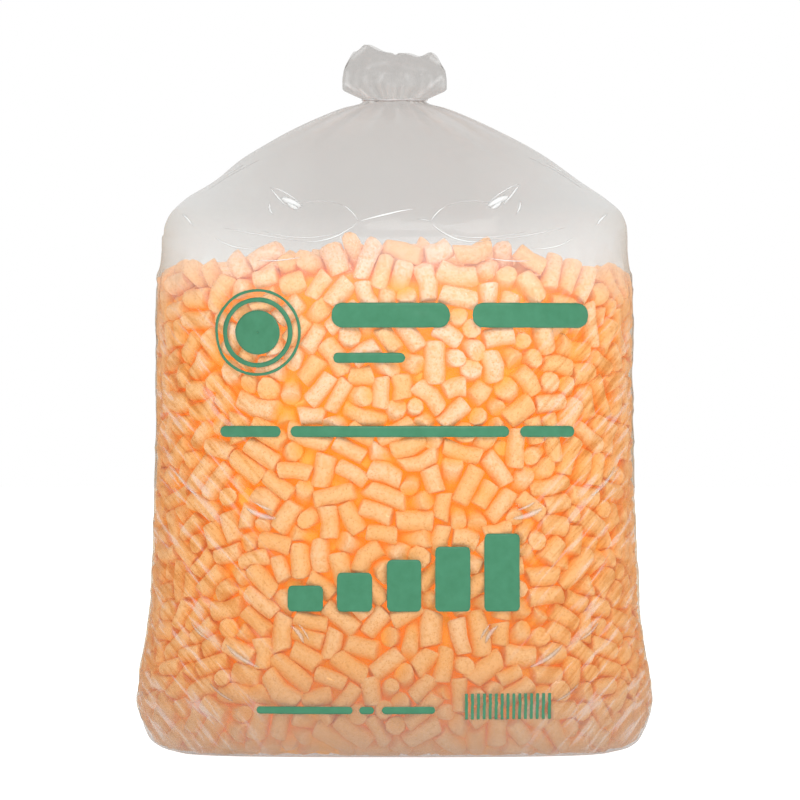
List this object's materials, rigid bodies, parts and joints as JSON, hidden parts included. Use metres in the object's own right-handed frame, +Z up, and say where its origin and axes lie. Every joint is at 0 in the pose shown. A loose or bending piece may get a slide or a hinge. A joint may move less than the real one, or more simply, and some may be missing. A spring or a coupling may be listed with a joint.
{
  "type": "packing peanut bag",
  "caption": "Tied clear film bag of peach coloured starch loose-fill packing chips, standing on its flat base, with a gathered neck and an open tuft above the tie.",
  "frame": {"origin": "middle of the flat base that the bag stands on", "axes": "+Z up towards the tied neck, the printed front towards -Y, +X to the right seen from the front"},
  "size_m": [0.568, 0.4488, 0.775],
  "materials": {
    "film": "hazy clear blown film, soft gloss, creased",
    "tie": "pale translucent strip, soft gloss",
    "chip_foam": "matt extruded starch foam, finely pitted",
    "print": "single-colour green ink printed on the film"
  },
  "bodies": {
    "root": {"film_bag": "film", "neck_tie": "tie", "settled_fill": "chip_foam", "loose_chip_01": "chip_foam", "loose_chip_02": "chip_foam", "loose_chip_03": "chip_foam", "loose_chip_04": "chip_foam", "loose_chip_05": "chip_foam", "loose_chip_06": "chip_foam", "loose_chip_07": "chip_foam", "loose_chip_08": "chip_foam", "loose_chip_09": "chip_foam", "loose_chip_10": "chip_foam", "loose_chip_11": "chip_foam", "loose_chip_12": "chip_foam", "loose_chip_13": "chip_foam", "loose_chip_14": "chip_foam", "loose_chip_15": "chip_foam", "loose_chip_16": "chip_foam", "loose_chip_17": "chip_foam", "loose_chip_18": "chip_foam", "loose_chip_19": "chip_foam", "loose_chip_20": "chip_foam", "loose_chip_21": "chip_foam", "loose_chip_22": "chip_foam", "loose_chip_23": "chip_foam", "loose_chip_24": "chip_foam", "loose_chip_25": "chip_foam", "loose_chip_26": "chip_foam", "loose_chip_27": "chip_foam", "loose_chip_28": "chip_foam", "loose_chip_29": "chip_foam", "loose_chip_30": "chip_foam", "loose_chip_31": "chip_foam", "loose_chip_32": "chip_foam", "loose_chip_33": "chip_foam"}
  },
  "joints": []
}
